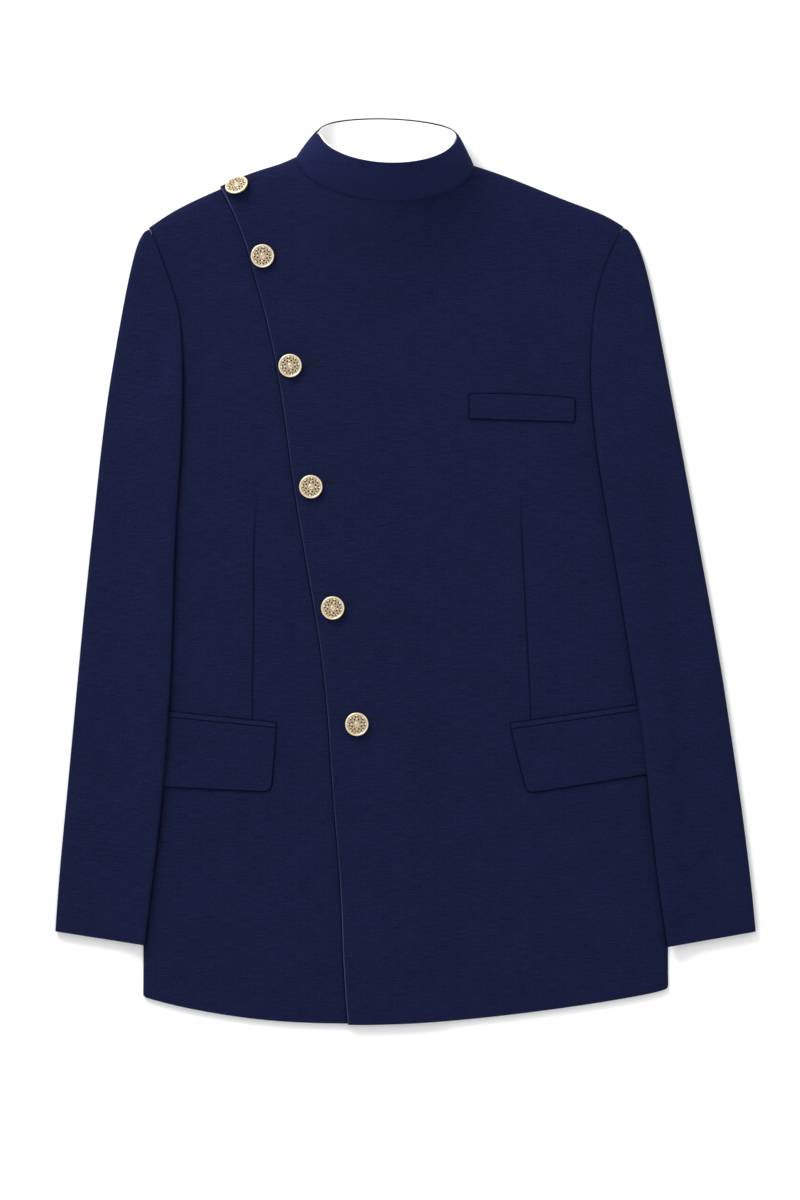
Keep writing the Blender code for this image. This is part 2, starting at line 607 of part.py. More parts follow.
def sleeve_section(side, row, whole):
    """One section across a sleeve: pairs for the top sleeve's wall, points for the under sleeve."""
    inner = Vector(row[:2])
    outer = Vector(row[2:])
    width = (outer - inner).length
    across = (outer - inner) / width
    fold = SLEEVE_THICK / 2
    cloth = SLEEVE_CLOTH
    reach = SLEEVE_WRAP + math.pi * fold
    start = reach * (1.0 - ease((SEAM_LEAVES_Y - inner.y) / (SEAM_LEAVES_Y - FOLD_WHOLE_Y)))
    held = ease((SUPPORT_STARTS_Y - inner.y) / (SUPPORT_STARTS_Y - SUPPORT_WHOLE_Y))
    wrap = max(SLEEVE_WRAP - start, 0.0)
    turned = math.radians(270) - max(start - SLEEVE_WRAP, 0.0) / fold
    rest = side.top(inner.x, inner.y) + SEAM_GAP
    sine = math.sin(turned)
    middle = rest - (fold - cloth if sine > 0 else fold) * sine
    shift = -(fold + fold * math.cos(turned)) if turned < math.pi else 0.0
    shift += SEAM_GAP * (start / reach)
    top_in = middle + fold
    top_out = (1 - held) * top_in + held * SLEEVE_THICK
    round_wide = min(top_out / 2 + (1 - whole) * top_out / 2, 0.62 * width)
    centre_high = whole * top_out / 2
    flat_start = fold + shift
    flat_end = width - round_wide

    edge_at = 0.0
    if held > 0.0:
        edge_at = next((c for c in range(int(width))
                        if side.beyond(inner + across * c) > SUPPORT_BEYOND), width)
    step_start = max(flat_start, min(edge_at - 4.0, flat_end - 20.0))
    step_run = max(min(20.0, flat_end - step_start), 0.1)

    def low(c):
        return held * rest * (1.0 - ease((c - edge_at) / STEP_DOWN))

    line = []
    for index in range(3):
        if wrap > 0.0:
            c = fold + wrap * (1 - index / 3)
            line.append((c, middle - fold, c, middle - fold + cloth))
    for index in range(13):
        angle = turned + (math.pi / 2 - turned) * index / 12
        cosine, sine = math.cos(angle), math.sin(angle)
        line.append((flat_start + fold * cosine, middle + fold * sine,
                     flat_start + (fold - cloth) * cosine, middle + (fold - cloth) * sine))
    for index in range(1, 24):
        c = flat_start + (flat_end - flat_start) * index / 24
        high = top_in + (top_out - top_in) * ease((c - step_start) / step_run)
        line.append((c, high, c, high - cloth))
    for index in range(17):
        angle = math.pi / 2 * (1 - (1 + whole) * index / 16)
        cosine, sine = math.cos(angle), math.sin(angle)
        reach_up = top_out - centre_high if sine > 0 else centre_high
        inner_up = max(reach_up - cloth, 0.0)
        line.append((flat_end + round_wide * cosine, centre_high + reach_up * sine,
                     flat_end + (round_wide - cloth) * cosine, centre_high + inner_up * sine))
    for index in range(1, 4):
        if whole == 1.0:
            c = flat_end - SLEEVE_WRAP * index / 3
            line.append((c, 0.0, c, cloth))

    def place(c, z):
        spot = inner + across * c
        return Vector((spot.x, spot.y, max(z, 0.0)))

    start_edge = fold + wrap if wrap > 0.0 else flat_start + (fold - cloth) * math.cos(turned)
    under_start = max(start_edge, 0.0) + SEAM_GAP + 0.15
    under_end = flat_end - SLEEVE_WRAP - SEAM_GAP
    mid_step = edge_at + STEP_DOWN / 2
    stops = (under_start, edge_at, edge_at + 0.25 * STEP_DOWN, mid_step,
             edge_at + 0.75 * STEP_DOWN, edge_at + STEP_DOWN, under_end)
    under = []
    for index, stop in enumerate(stops):
        least = under_start + (under_end - under_start) * 0.02 * index
        most = under_end - (under_end - under_start) * 0.02 * (len(stops) - 1 - index)
        c = min(max(stop, least), most)
        under.append(place(c, low(c)))
    pairs = [(place(a, b), place(c, d)) for a, b, c, d in line]
    return resample(pairs, SLEEVE_ACROSS), under


def make_sleeve(name, rows, side, cloth):
    outers, inners, unders = [], [], []
    for station in SLEEVE_STATIONS:
        index = min(int(station), len(rows) - 2)
        whole = ease(station / WHOLE_END_STATION)
        pairs, under = sleeve_section(side, smooth_point(rows, index, station - index), whole)
        outers.append([pair[0] for pair in pairs])
        inners.append([pair[1] for pair in pairs])
        unders.append(under)
    wall("sleeve_top_" + name, outers, inners, cloth)
    unders = unders[FIRST_UNDER_STATION:]
    upper = [[point + Vector((0.0, 0.0, UNDER_CLOTH)) for point in row] for row in unders]
    wall("sleeve_under_" + name, upper, unders, cloth)


def collar_rows():
    """
    Outer face of the collar band, as a base, a middle and a rim point at each turn round the neck,
    with the direction in which the lining lies.
    """
    turns = [math.radians(degrees) for degrees in NECK_DEGREES]
    turns[0] -= COLLAR_SLIT
    turns += [math.radians(degrees) for degrees in BACK_DEGREES]
    turns.append(COLLAR_SLIT - math.pi)
    end = rim_point(turns[0])
    rows, inward = [], []
    for turn in turns:
        base = base_point(turn)
        high = over_height(base.x, base.y) if turn > 0 else 0.0
        base = Vector((base.x, base.y, high))
        rim = rim_point(turn)
        up = (rim - base).normalized()
        away = COLLAR_END_ROUND - min((rim - end).length, COLLAR_END_ROUND)
        cut = COLLAR_END_ROUND - math.sqrt(COLLAR_END_ROUND ** 2 - away ** 2)
        base += up * (SEAM_GAP if turn > 0 else BACK_SEAM_GAP)
        if turn > -math.pi / 2:
            rim -= up * (cut * 0.8)
        front, back = max(math.sin(turn), 0.0), max(-math.sin(turn), 0.0)
        lift = CORNER_LIFT * max(1.0 - front / CORNER_REACH, 0.0)
        into = Vector((-math.cos(turn), 0.707 * front, lift - 0.707 * front)).normalized()
        lying = Vector((0.0, -0.4 * (1.0 - back), 1.0)).normalized()
        into = into.lerp(lying, min(back / BACK_CORNER_REACH, 1.0)).normalized()
        middle = base.lerp(rim, 0.5) - into * (COLLAR_BARREL * (1.0 - back))
        rows.append([base, middle, rim])
        inward.append(into)
    rows.reverse()
    inward.reverse()
    return rows, inward


def make_collar(cloth, white):
    rows, inward = collar_rows()
    layers = []
    depths = (0.0, BAND_CLOTH, BAND_CLOTH + LINING_GAP, BAND_CLOTH + LINING_GAP + LINING_CLOTH)
    for depth in depths:
        layer = []
        for (base, middle, rim), into in zip(rows, inward):
            up = (rim - base).normalized()
            rim_short = RIM_LINING_SET if depth > BAND_CLOTH else 0.0
            base_short = BASE_LINING_SET if depth > BAND_CLOTH else 0.0
            places = (base + up * base_short, middle, rim - up * rim_short)
            extra = CORNER_GAP * abs(into.x) ** 4 if depth > BAND_CLOTH else 0.0
            layer.append([point + into * (depth + extra) for point in places])
        layers.append(layer)
    wall("collar_band", layers[0], layers[1], cloth)
    wall("collar_lining", layers[2], layers[3], white)


def lie_on(name, plan, height, thickness, material):
    """A flat piece sewn on a front, made from the front's own height."""
    outer = [[Vector((p.x, p.y, height(p.x, p.y) + SEAM_GAP + thickness)) for p in row]
             for row in plan]
    inner = [[p - Vector((0.0, 0.0, thickness)) for p in row] for row in outer]
    return wall(name, outer, inner, material)


def corner_plan(corners, columns, rows, rounds=(0.0, 0.0), radius=0.0, bow=0.0):
    """A grid between four corners, its two lower corners rounded and its top edge bowed."""
    top_first, top_last, low_last, low_first = [Vector(corner) for corner in corners]
    wide = (low_last - low_first).length
    plan = []
    for v in rows:
        row = []
        for u in columns:
            low = low_first.lerp(low_last, u)
            top = top_first.lerp(top_last, u)
            lift = 0.0
            for at_end, from_end in ((rounds[0], u * wide), (rounds[1], (1 - u) * wide)):
                if at_end and from_end < radius:
                    away = radius - from_end
                    lift = radius - math.sqrt(radius ** 2 - away ** 2)
            top = top + Vector((0.0, bow * math.sin(math.pi * u)))
            low = low + (top - low).normalized() * lift
            row.append(low.lerp(top, v))
        plan.append(row)
    return plan


def make_pockets(cloth):
    ends = (0.0, 0.02, 0.06, 0.3, 0.55, 0.8, 0.94, 0.98, 1.0)
    welt = corner_plan(CHEST_WELT, ends, (0.0, 0.5, 1.0), bow=CHEST_WELT_BOW)
    lie_on("chest_welt", welt, over_height, TRIM_CLOTH, cloth)
    sides = (("right", RIGHT_FLAP, (0.0, 1.0), under_height),
             ("left", LEFT_FLAP, (1.0, 0.0), over_height))
    for name, corners, rounds, height in sides:
        top_first, top_last, low_last, low_first = [Vector(corner) for corner in corners]
        drop = JET_HEIGHT / (low_first - top_first).length
        jet_first = top_first.lerp(low_first, drop)
        jet_last = top_last.lerp(low_last, drop)
        gap = Vector((0.0, -SEAM_GAP))
        jet = corner_plan((top_first, top_last, jet_last, jet_first), ends, (0.0, 1.0))
        lie_on("hip_jet_" + name, jet, height, JET_CLOTH, cloth)
        flap = corner_plan((jet_first + gap, jet_last + gap, low_last, low_first), ends,
                           (0.0, 0.35, 0.7, 1.0), rounds, FLAP_CORNER)
        lie_on("hip_flap_" + name, flap, height, TRIM_CLOTH, cloth)


def button_profile(shank):
    """Half outline of a shank button, from the foot of its shank to the middle of its face."""
    face = shank + BUTTON_THICK
    rim_in = BUTTON_RADIUS - BUTTON_RIM
    return ((0.0, 0.0), (SHANK_RADIUS, 0.0), (SHANK_RADIUS, shank),
            (BUTTON_RADIUS - 1.2, shank + 0.3), (BUTTON_RADIUS, shank + 1.3),
            (BUTTON_RADIUS - 0.5, face - 0.2), (rim_in, face - 0.1),
            (rim_in - 0.5, face - BUTTON_DISH), (0.0, face - BUTTON_DISH + 0.3))


def make_button(name, foot, shank, tilt, turn, metal):
    pose = Matrix.Translation(foot) @ Matrix.Rotation(turn, 4, "Z") @ Matrix.Rotation(-tilt, 4, "X")

    def fill(shape):
        points = [shape.verts.new((radius, 0.0, high)) for radius, high in button_profile(shank)]
        edges = [shape.edges.new(pair) for pair in zip(points, points[1:])]
        bmesh.ops.spin(shape, geom=points + edges, axis=(0, 0, 1), cent=(0, 0, 0),
                       angle=2 * math.pi, steps=BUTTON_SIDES, use_merge=True)
        bmesh.ops.remove_doubles(shape, verts=shape.verts, dist=0.001)
        bmesh.ops.transform(shape, matrix=pose, verts=shape.verts)

    return add_object(name, fill, metal)


def clearance(spots):
    """Smallest height of some points over the over front, or over the floor outside it."""
    least = 99.0
    for spot in spots:
        over_cloth = inside(shoulder_zone, spot.x, spot.y)
        least = min(least, spot.z - (over_height(spot.x, spot.y) if over_cloth else 0.0))
    return least


def shoulder_button_seat():
    """Foot and shank of the tilted button, clear of the rolled shoulder under it."""
    lean = Vector((-math.sin(SHOULDER_BUTTON_TURN), math.cos(SHOULDER_BUTTON_TURN), 0.0))
    normal = lean * math.sin(SHOULDER_BUTTON_TILT)
    normal.z = math.cos(SHOULDER_BUTTON_TILT)
    slope = lean * math.cos(SHOULDER_BUTTON_TILT)
    slope.z = -math.sin(SHOULDER_BUTTON_TILT)
    side = normal.cross(slope)

    def disc(centre, radius):
        rings = [centre]
        for index in range(72):
            angle = 2 * math.pi * (index % 24) / 24
            reach = radius * (1 + index // 24) / 3
            rings.append(centre + (slope * math.cos(angle) + side * math.sin(angle)) * reach)
        return rings

    back = Vector((*SHOULDER_BUTTON, 0.0)) - normal * BUTTON_THICK
    while clearance(disc(back, BUTTON_RADIUS)) < SHOULDER_BUTTON_CLEAR:
        back.z += 0.1
    shank = 0.3
    while clearance(disc(back - normal * (shank + 0.1), SHANK_RADIUS)) > SHOULDER_BUTTON_CLEAR:
        shank += 0.1
    return back - normal * shank, shank


def make_buttons(metal):
    foot, shank = shoulder_button_seat()
    make_button("button_1", foot, shank, SHOULDER_BUTTON_TILT, SHOULDER_BUTTON_TURN, metal)
    for index, (x, y) in enumerate(FRONT_BUTTONS):
        around = [over_height(x + dx, y + dy) for dx in (-3, 0, 3) for dy in (-3, 0, 3)]
        foot = Vector((x, y, max(around) + SEAM_GAP))
        make_button("button_%d" % (index + 2), foot, SHANK_HIGH, 0.0, 0.0, metal)


def main():
    remove_everything()
    cloth = make_material("navy_cloth", NAVY, 0.85, 0.0)
    white = make_material("white_lining", LINING_WHITE, 0.7, 0.0)
    metal = make_material("gold_metal", GOLD, 0.35, 1.0)
    make_backs(cloth)
    make_front_right(cloth)
    make_front_left(cloth)
    make_sleeve("right", RIGHT_SLEEVE, Side(right_side, right_armhole, RIGHT_FLAP, -1), cloth)
    make_sleeve("left", LEFT_SLEEVE, Side(left_side, left_armhole, LEFT_FLAP, 1), cloth)
    make_collar(cloth, white)
    make_pockets(cloth)
    make_buttons(metal)


main()
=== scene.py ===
import json
import math

import bmesh
import bpy
from mathutils import Matrix, Vector
from mathutils.bvhtree import BVHTree
from mathutils.kdtree import KDTree

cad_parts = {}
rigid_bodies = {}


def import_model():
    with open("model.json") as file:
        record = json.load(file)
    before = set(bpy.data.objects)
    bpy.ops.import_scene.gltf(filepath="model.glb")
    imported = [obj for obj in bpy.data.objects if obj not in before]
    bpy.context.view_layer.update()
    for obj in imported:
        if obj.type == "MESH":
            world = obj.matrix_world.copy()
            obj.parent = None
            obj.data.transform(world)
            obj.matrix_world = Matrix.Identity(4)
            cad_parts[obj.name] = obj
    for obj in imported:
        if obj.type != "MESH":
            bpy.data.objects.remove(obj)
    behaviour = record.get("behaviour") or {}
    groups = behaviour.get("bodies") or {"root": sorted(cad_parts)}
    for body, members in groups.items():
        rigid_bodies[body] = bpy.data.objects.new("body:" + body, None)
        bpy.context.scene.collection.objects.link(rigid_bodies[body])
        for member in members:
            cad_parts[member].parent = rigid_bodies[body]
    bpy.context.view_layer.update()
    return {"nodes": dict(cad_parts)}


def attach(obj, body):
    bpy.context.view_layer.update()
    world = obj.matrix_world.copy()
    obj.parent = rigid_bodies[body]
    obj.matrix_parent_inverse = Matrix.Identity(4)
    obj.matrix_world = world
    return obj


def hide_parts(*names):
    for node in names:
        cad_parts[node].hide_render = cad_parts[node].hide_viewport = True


for leftOver in list(bpy.data.objects):
    bpy.data.objects.remove(leftOver, do_unlink=True)
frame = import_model()
mm = 0.001


# shapes

shapeLook = {
    "merge": 0.01 * mm, "cutDegrees": 50, "shadeDegrees": 38,
    "joinFaceDegrees": 30, "joinShapeDegrees": 70,
    "dotPitch": 0.25 * mm, "rowPitch": 3 * mm,
    "splitNormal": 0.15, "splitRounds": 9, "needleArea": 1e-11, "needleWide": 0.002 * mm,
}


def nodeShape(name):
    shape = bmesh.new()
    shape.from_mesh(frame["nodes"][name].data)
    bmesh.ops.remove_doubles(shape, verts=shape.verts, dist=shapeLook["merge"])
    return shape


def isSharp(edge, degrees=shapeLook["cutDegrees"]):
    return len(edge.link_faces) == 2 and edge.calc_face_angle(0.0) > math.radians(degrees)


def softened(shape, levels, quads=True):
    # quads where the triangles are half quads, then subdivision that keeps the cut edges
    if quads:
        bmesh.ops.join_triangles(
            shape, faces=shape.faces,
            angle_face_threshold=math.radians(shapeLook["joinFaceDegrees"]),
            angle_shape_threshold=math.radians(shapeLook["joinShapeDegrees"]))
    creases = shape.edges.layers.float.new("crease_edge")
    for edge in shape.edges:
        edge[creases] = 1.0 if isSharp(edge) else 0.0
    mesh = bpy.data.meshes.new("working")
    shape.to_mesh(mesh)
    shape.free()
    thing = bpy.data.objects.new("working", mesh)
    bpy.context.collection.objects.link(thing)
    soften = thing.modifiers.new("soften", "SUBSURF")
    soften.levels = levels
    soften.render_levels = levels
    bpy.context.view_layer.update()
    graph = bpy.context.evaluated_depsgraph_get()
    done = bpy.data.meshes.new_from_object(thing.evaluated_get(graph))
    fresh = bmesh.new()
    fresh.from_mesh(done)
    bpy.data.objects.remove(thing, do_unlink=True)
    bpy.data.meshes.remove(mesh)
    bpy.data.meshes.remove(done)
    return fresh


def treeOf(points):
    tree = KDTree(len(points))
    for index, point in enumerate(points):
        tree.insert(point, index)
    tree.balance()
    return tree


def flatPoint(point):
    return Vector((point[0], point[1], 0.0))


def dotted(rows):
    # points along a line of rows, in plan
    points = []
    for start, end in zip(rows, rows[1:]):
        start, end = flatPoint(start), flatPoint(end)
        count = max(int((end - start).length / shapeLook["dotPitch"]), 1)
        points += [start.lerp(end, step / count) for step in range(count)]
    return points + [flatPoint(rows[-1])]


def outlinePoints(name, keep=None):
    # plan points along a node's cut edges
    shape = nodeShape(name)
    points = []
    for edge in shape.edges:
        if isSharp(edge):
            ends = [vert.co for vert in edge.verts]
            if keep is None or (keep(ends[0]) and keep(ends[1])):
                points += dotted(ends)
    shape.free()
    return points


def sideLine(name, towards, low, high):
    # the edge of a node seen from above on one side, row by row up the jacket
    shape = nodeShape(name)
    ends = [(edge.verts[0].co, edge.verts[1].co) for edge in shape.edges]
    rows = []
    y = low
    while y < high:
        reach = [a.x + (b.x - a.x) * (y - a.y) / (b.y - a.y) for a, b in ends
                 if (a.y - y) * (b.y - y) < 0]
        if reach:
            rows.append((max(reach) if towards > 0 else min(reach), y, 0.0))
        y += shapeLook["rowPitch"]
    shape.free()
    return rows


def away(tree, point):
    return tree.find(flatPoint(point))[2]


def dropFolds(shape):
    # two faces on the same corners are a fold with nothing in it
    twins = {}
    for face in shape.faces:
        twins.setdefault(frozenset(face.verts), []).append(face)
    folded = [face for pair in twins.values() if len(pair) > 1 for face in pair]
    bmesh.ops.delete(shape, geom=folded, context="FACES")


def triangulated(shape):
    bmesh.ops.triangulate(shape, faces=[face for face in shape.faces if len(face.verts) > 3])


def refine(shape, tree, fine, coarse, grade):
    # splits long edges of the faces that look up, finer towards the tree's lines
    for _ in range(shapeLook["splitRounds"]):
        long = []
        for edge in shape.edges:
            if max(face.normal.z for face in edge.link_faces) < shapeLook["splitNormal"]:
                continue
            length = edge.calc_length()
            if length <= fine:
                continue
            middle = (edge.verts[0].co + edge.verts[1].co) / 2
            near = max(away(tree, middle) - length / 2, 0.0)
            if length > min(fine + grade * near, coarse):
                long.append(edge)
        if not long:
            return
        bmesh.ops.subdivide_edges(shape, edges=long, cuts=1)
        triangulated(shape)
        # needles between points in one line would be split again in every round
        if any(face.calc_area() < shapeLook["needleArea"] for face in shape.faces):
            bmesh.ops.dissolve_degenerate(shape, dist=shapeLook["needleWide"], edges=shape.edges)
            triangulated(shape)
        shape.normal_update()


def ease(value):
    value = min(max(value, 0.0), 1.0)
    return value * value * (3 - 2 * value)


def layUv(shape, top, turn=0.0):
    # the weave lies in plan, and runs on down the rolled edges without stretching
    weave = shape.loops.layers.uv.new("weave")
    cosine, sine = math.cos(turn), math.sin(turn)
    for face in shape.faces:
        for loop in face.loops:
            point, normal = loop.vert.co, loop.vert.normal
            drop = max(top - point.z, 0.0)
            x, y = point.x + normal.x * drop, point.y + normal.y * drop
            loop[weave].uv = (x * cosine + y * sine, y * cosine - x * sine)


def dress(name, shape, nodes, materials):
    # the finished piece, in place of its nodes
    for face in shape.faces:
        face.smooth = True
    for edge in shape.edges:
        edge.smooth = not isSharp(edge, shapeLook["shadeDegrees"])
    mesh = bpy.data.meshes.new(name)
    shape.to_mesh(mesh)
    shape.free()
    for material in materials:
        mesh.materials.append(material)
    piece = bpy.data.objects.new(name, mesh)
    bpy.context.collection.objects.link(piece)
    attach(piece, "root")
    if nodes:
        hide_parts(*nodes)
    return piece


# materials

class Tree:
    # short ways to add nodes to one material
    def __init__(self, name):
        self.material = bpy.data.materials.new(name)
        self.material.use_nodes = True
        self.nodes = self.material.node_tree.nodes
        self.links = self.material.node_tree.links
        self.shader = self.nodes["Principled BSDF"]

    def put(self, socket, value):
        if isinstance(value, bpy.types.NodeSocket):
            self.links.new(value, socket)
        else:
            socket.default_value = value

    def add(self, kind, values=None, **settings):
        node = self.nodes.new(kind)
        for key, value in settings.items():
            setattr(node, key, value)
        for key, value in (values or {}).items():
            self.put(node.inputs[key], value)
        return node

    def maths(self, operation, first, second=0.0):
        values = {0: first, 1: second}
        return self.add("ShaderNodeMath", values, operation=operation).outputs[0]

    def wave(self, value, pitch):
        return self.maths("SINE", self.maths("MULTIPLY", value, 2 * math.pi / pitch))

    def between(self, value, low, high, toLow=0.0, toHigh=1.0):
        values = {"Value": value, "From Min": low, "From Max": high,
                  "To Min": toLow, "To Max": toHigh}
        return self.add("ShaderNodeMapRange", values).outputs["Result"]

    def blend(self, factor, first, second):
        node = self.add("ShaderNodeMix", {0: factor, 6: first, 7: second}, data_type="RGBA")
        return node.outputs[2]

    def attribute(self, name):
        return self.add("ShaderNodeAttribute", attribute_name=name).outputs["Fac"]

    def weave(self):
        return self.add("ShaderNodeUVMap", uv_map="weave").outputs["UV"]

    def place(self):
        return self.add("ShaderNodeTexCoord").outputs["Object"]

    def noise(self, vector, scale, detail=2.0):
        values = {"Vector": vector, "Scale": scale, "Detail": detail}
        return self.add("ShaderNodeTexNoise", values).outputs["Fac"]

    def stretch(self, vector, scale, turn=0.0):
        values = {"Vector": vector, "Scale": scale, "Rotation": (0.0, 0.0, turn)}
        return self.add("ShaderNodeMapping", values).outputs["Vector"]

    def bump(self, height, strength, depth):
        values = {"Height": height, "Strength": strength, "Distance": depth}
        normal = self.add("ShaderNodeBump", values).outputs["Normal"]
        self.put(self.shader.inputs["Normal"], normal)

    def surface(self, colour, roughness, specular):
        self.put(self.shader.inputs["Base Color"], colour)
        self.put(self.shader.inputs["Roughness"], roughness)
        self.shader.inputs["Specular IOR Level"].default_value = specular


clothLook = {
    "dark": (0.0039, 0.0056, 0.0246, 1.0),
    "point": (0.0165, 0.0214, 0.0655, 1.0),
    # painted shade: the colour of the dark lines beside joins, darts, pocket edges and the
    # overlap's edge, where shade falls
    "seam": (0.0014, 0.0021, 0.0100, 1.0),
    # painted highlight: the colour of the light line along the opening's folded edge
    "lit": (0.0430, 0.0530, 0.1230, 1.0),
    "pinheadPitch": 2.12 * mm, "pinheadFrom": 0.10, "pinheadTo": 0.85,
    "twillPitch": 0.62 * mm,
    "slub": (70.0, 1300.0, 1.0), "cloud": (14.0, 34.0, 1.0), "grain": 620.0,
    "pointLeast": 0.45, "pointMost": 1.35,
    "tones": 1.0, "slubTone": 0.22, "cloudTone": 0.06, "grainTone": 0.38,
    "pinheadHigh": 0.6, "twillHigh": 0.25, "slubHigh": 0.5,
    "bump": 0.35, "bumpDepth": 0.18 * mm,
    "roughness": 0.88, "roughnessSpread": 0.05, "specular": 0.04,
    "sheen": 0.015, "sheenRoughness": 0.5, "sheenTint": (0.10, 0.13, 0.30, 1.0),
}


def clothMaterial(name, look, points=1.0, turn=0.0):
    tree = Tree(name)
    flat = tree.stretch(tree.weave(), (1.0, 1.0, 1.0), turn)
    axes = tree.add("ShaderNodeSeparateXYZ", {"Vector": flat})
    across, up = axes.outputs["X"], axes.outputs["Y"]
    lattice = tree.maths("MULTIPLY", tree.wave(across, look["pinheadPitch"]),
                         tree.wave(up, look["pinheadPitch"]))
    pinhead = tree.between(lattice, look["pinheadFrom"], look["pinheadTo"])
    # the twill line between the points
    twill = tree.wave(tree.maths("ADD", across, up), look["twillPitch"])
    # slubs along the weft, and slow changes of shade
    slub = tree.noise(tree.stretch(flat, look["slub"]), 1.0, 3.0)
    cloud = tree.noise(tree.stretch(flat, look["cloud"]), 1.0)
    grain = tree.noise(flat, look["grain"], 3.0)
    strength = tree.between(slub, 0.3, 0.7, look["pointLeast"] * points, look["pointMost"] * points)
    lightPart = tree.maths("MULTIPLY", pinhead, strength)
    colour = tree.blend(lightPart, look["dark"], look["point"])
    slubTone, grainTone = look["slubTone"] * look["tones"], look["grainTone"] * look["tones"]
    tone = tree.maths("ADD", tree.between(slub, 0.25, 0.75, -slubTone, slubTone),
                      tree.between(cloud, 0.25, 0.75, 1 - look["cloudTone"], 1 + look["cloudTone"]))
    tone = tree.maths("ADD", tone, tree.between(grain, 0.25, 0.75, -grainTone, grainTone))
    shaded = tree.add("ShaderNodeVectorMath", {0: colour, "Scale": tone}, operation="SCALE")
    # painted shade along joins, darts and edges, then the painted highlight along the opening's
    # edge
    colour = tree.blend(tree.attribute("seam"), shaded.outputs["Vector"], look["seam"])
    colour = tree.blend(tree.attribute("lit"), colour, look["lit"])
    spread = look["roughnessSpread"]
    roughness = tree.between(slub, 0.2, 0.8, look["roughness"] - spread, look["roughness"] + spread)
    tree.surface(colour, roughness, look["specular"])
    high = tree.maths("ADD", tree.maths("MULTIPLY", pinhead, look["pinheadHigh"]),
                      tree.maths("MULTIPLY", twill, look["twillHigh"]))
    high = tree.maths("ADD", high, tree.maths("MULTIPLY", slub, look["slubHigh"]))
    tree.bump(high, look["bump"], look["bumpDepth"])
    tree.shader.inputs["Sheen Weight"].default_value = look["sheen"]
    tree.shader.inputs["Sheen Roughness"].default_value = look["sheenRoughness"]
    tree.shader.inputs["Sheen Tint"].default_value = look["sheenTint"]
    return tree.material


liningLook = {
    "warp": (0.93, 0.93, 0.92, 1.0), "weft": (0.97, 0.97, 0.97, 1.0), "pitch": 0.5 * mm,
    "slub": (60.0, 900.0, 1.0), "ribPart": 0.6, "slubPart": 0.5,
    "roughness": (0.42, 0.55), "specular": 0.3, "bump": 0.2, "bumpDepth": 0.05 * mm,
}


def liningMaterial(name, look):
    tree = Tree(name)
    uv = tree.weave()
    axes = tree.add("ShaderNodeSeparateXYZ", {"Vector": uv})
    ribs = tree.wave(tree.maths("ADD", axes.outputs["X"], axes.outputs["Y"]), look["pitch"])
    slub = tree.noise(tree.stretch(uv, look["slub"]), 1.0)
    mixed = tree.maths("ADD", tree.between(ribs, -1.0, 1.0, 0.0, look["ribPart"]),
                       tree.maths("MULTIPLY", slub, look["slubPart"]))
    tree.surface(tree.blend(mixed, look["warp"], look["weft"]),
                 tree.between(slub, 0.2, 0.8, *look["roughness"]), look["specular"])
    tree.bump(ribs, look["bump"], look["bumpDepth"])
    return tree.material


goldLook = {
    # the darker brown is painted shade on the buttons' low parts, and random patina patches take it
    # too
    "recessShadeAndPatina": (0.35, 0.265, 0.185, 1.0), "raised": (0.80, 0.68, 0.44, 1.0),
    "worn": (0.90, 0.83, 0.62, 1.0), "spots": 1400.0, "patina": 420.0, "patinaMost": 0.25,
    "metallic": 0.85, "roughness": (0.26, 0.44), "specular": 0.5,
    "bump": 0.15, "bumpDepth": 0.05 * mm,
}


def goldMaterial(name, look):
    tree = Tree(name)
    place = tree.place()
    relief = tree.attribute("relief")
    spots = tree.noise(place, look["spots"], 3.0)
    patina = tree.noise(place, look["patina"])
    # painted shade: the low parts of the relief take the darker brown
    colour = tree.blend(relief, look["recessShadeAndPatina"], look["raised"])
    wear = tree.maths("MULTIPLY", relief, tree.between(spots, 0.45, 0.75))
    colour = tree.blend(wear, colour, look["worn"])
    colour = tree.blend(tree.between(patina, 0.5, 0.8, 0.0, look["patinaMost"]),
                        colour, look["recessShadeAndPatina"])
    tree.surface(colour, tree.between(spots, 0.3, 0.7, *look["roughness"]), look["specular"])
    tree.shader.inputs["Metallic"].default_value = look["metallic"]
    tree.bump(spots, look["bump"], look["bumpDepth"])
    return tree.material


holeShadeLook = {
    "deep": (0.006, 0.004, 0.002, 1.0), "pale": (0.030, 0.018, 0.007, 1.0), "spots": 1800.0,
    "roughness": (0.5, 0.7), "specular": 0.1,
}


def holeShadeMaterial(name, look):
    # painted shade: very dark colour on the small beads that stand for the holes of the buttons
    tree = Tree(name)
    spots = tree.noise(tree.place(), look["spots"])
    tree.surface(tree.blend(spots, look["deep"], look["pale"]),
                 tree.between(spots, 0.3, 0.7, *look["roughness"]), look["specular"])
    return tree.material


threadLook = {
    "deep": (0.0016, 0.0022, 0.0080, 1.0), "pale": (0.0065, 0.0085, 0.0260, 1.0),
    "twist": (3000.0, 5200.0, 3000.0), "roughness": (0.6, 0.8), "specular": 0.15,
    "bump": 0.3, "bumpDepth": 0.05 * mm,
}


def threadMaterial(name, look):
    tree = Tree(name)
    twist = tree.noise(tree.stretch(tree.place(), look["twist"]), 1.0)
    tree.surface(tree.blend(twist, look["deep"], look["pale"]),
                 tree.between(twist, 0.2, 0.8, *look["roughness"]), look["specular"])
    tree.bump(twist, look["bump"], look["bumpDepth"])
    return tree.material


# the collar's cloth is painted lighter than the body's, to make up for the shade on its steep
# front; its weave is also plainer
collarClothPaintedLighter = dict(clothLook, tones=0.3, dark=(0.0083, 0.0114, 0.0455, 1.0),
                   point=(0.0155, 0.0218, 0.0680, 1.0))
jetCloth = dict(clothLook, dark=(0.0031, 0.0047, 0.0218, 1.0),
                point=(0.0240, 0.0305, 0.0850, 1.0))

